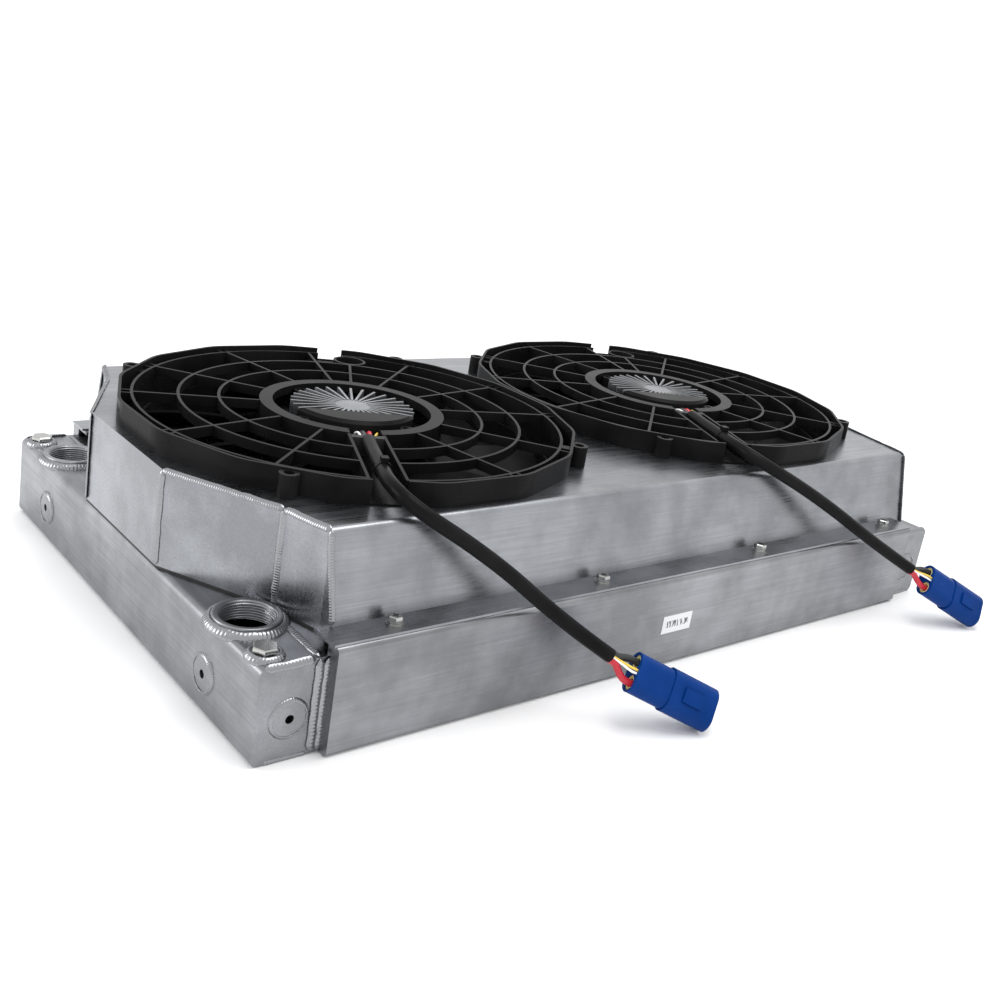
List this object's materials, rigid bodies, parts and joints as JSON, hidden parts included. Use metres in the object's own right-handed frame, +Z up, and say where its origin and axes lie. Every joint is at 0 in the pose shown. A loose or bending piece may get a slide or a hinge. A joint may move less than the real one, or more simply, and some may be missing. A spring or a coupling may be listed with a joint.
{
  "type": "twin-fan liquid cooling radiator",
  "caption": "Flat welded aluminium radiator with side tanks, threaded ports and a bent sheet shroud carrying round electric fans with blue-plugged leads.",
  "frame": {"origin": "centre of the footprint, at floor level under the side channels", "axes": "+X along the length towards the tank without ports, +Y from the side with the leads to the far side, +Z up through the fans"},
  "size_m": [0.841, 0.6179, 0.1803],
  "materials": {
    "welded_aluminium": "mill finish with weld beads",
    "core_aluminium": "brazed, matt",
    "channel_aluminium": "brushed",
    "shroud_aluminium": "brushed",
    "cast_aluminium": "die cast",
    "zinc_steel": "bright zinc plated",
    "black_steel": "black oxide",
    "black_plastic": "satin moulded",
    "black_rubber": "matt",
    "lead_sleeve": "satin shrink sleeve",
    "wire_insulation": "satin",
    "seal_rubber": "matt",
    "blue_plastic": "semi gloss",
    "circuit_board": "solder resist",
    "dark_iron": "laminated",
    "copper": "enamelled wire",
    "label": "plain"
  },
  "bodies": {
    "frame": {"bearings": "zinc_steel", "bleed_bungs": "welded_aluminium", "bleed_plugs": "zinc_steel", "core_fins": "core_aluminium", "core_side_plates": "core_aluminium", "core_tubes": "core_aluminium", "fan_nuts": "black_steel", "fan_screws": "black_steel", "front_side_channel": "channel_aluminium", "inlet_port": "welded_aluminium", "label": "label", "left_drive_board": "circuit_board", "left_fan_housing": "black_plastic", "left_header": "welded_aluminium", "left_heat_sink": "cast_aluminium", "left_lead": "lead_sleeve", "left_lead_grommet": "black_rubber", "left_motor_cover": "black_plastic", "left_plug": "blue_plastic", "left_plug_wires": "wire_insulation", "left_stator": "dark_iron", "left_tank": "welded_aluminium", "left_tank_caps": "welded_aluminium", "left_windings": "copper", "motor_screws": "zinc_steel", "mount_bosses": "welded_aluminium", "outlet_port": "welded_aluminium", "rear_side_channel": "channel_aluminium", "right_drive_board": "circuit_board", "right_fan_housing": "black_plastic", "right_header": "welded_aluminium", "right_heat_sink": "cast_aluminium", "right_lead": "lead_sleeve", "right_lead_grommet": "black_rubber", "right_motor_cover": "black_plastic", "right_plug": "blue_plastic", "right_plug_wires": "wire_insulation", "right_stator": "dark_iron", "right_tank": "welded_aluminium", "right_tank_caps": "welded_aluminium", "right_windings": "copper", "shroud_left_end": "shroud_aluminium", "shroud_lock_washers": "zinc_steel", "shroud_panel": "shroud_aluminium", "shroud_right_end": "shroud_aluminium", "shroud_screws": "zinc_steel", "shroud_seal": "black_rubber", "shroud_washers": "zinc_steel", "tank_baffle": "welded_aluminium", "weld_nuts": "zinc_steel", "wire_seals": "seal_rubber"},
    "left_rotor": {"left_fan_rotor": "black_plastic", "left_rotor_can": "zinc_steel", "left_rotor_magnets": "dark_iron", "left_motor_shaft": "zinc_steel"},
    "right_rotor": {"right_fan_rotor": "black_plastic", "right_rotor_can": "zinc_steel", "right_rotor_magnets": "dark_iron", "right_motor_shaft": "zinc_steel"}
  },
  "joints": [
    {"name": "left_fan_spin", "type": "hinge", "parent": "frame", "child": "left_rotor", "pos_m": [-0.206, 0, 0.13], "axis": [0, 0, 1], "continuous": true},
    {"name": "right_fan_spin", "type": "hinge", "parent": "frame", "child": "right_rotor", "pos_m": [0.206, 0, 0.13], "axis": [0, 0, 1], "continuous": true}
  ]
}
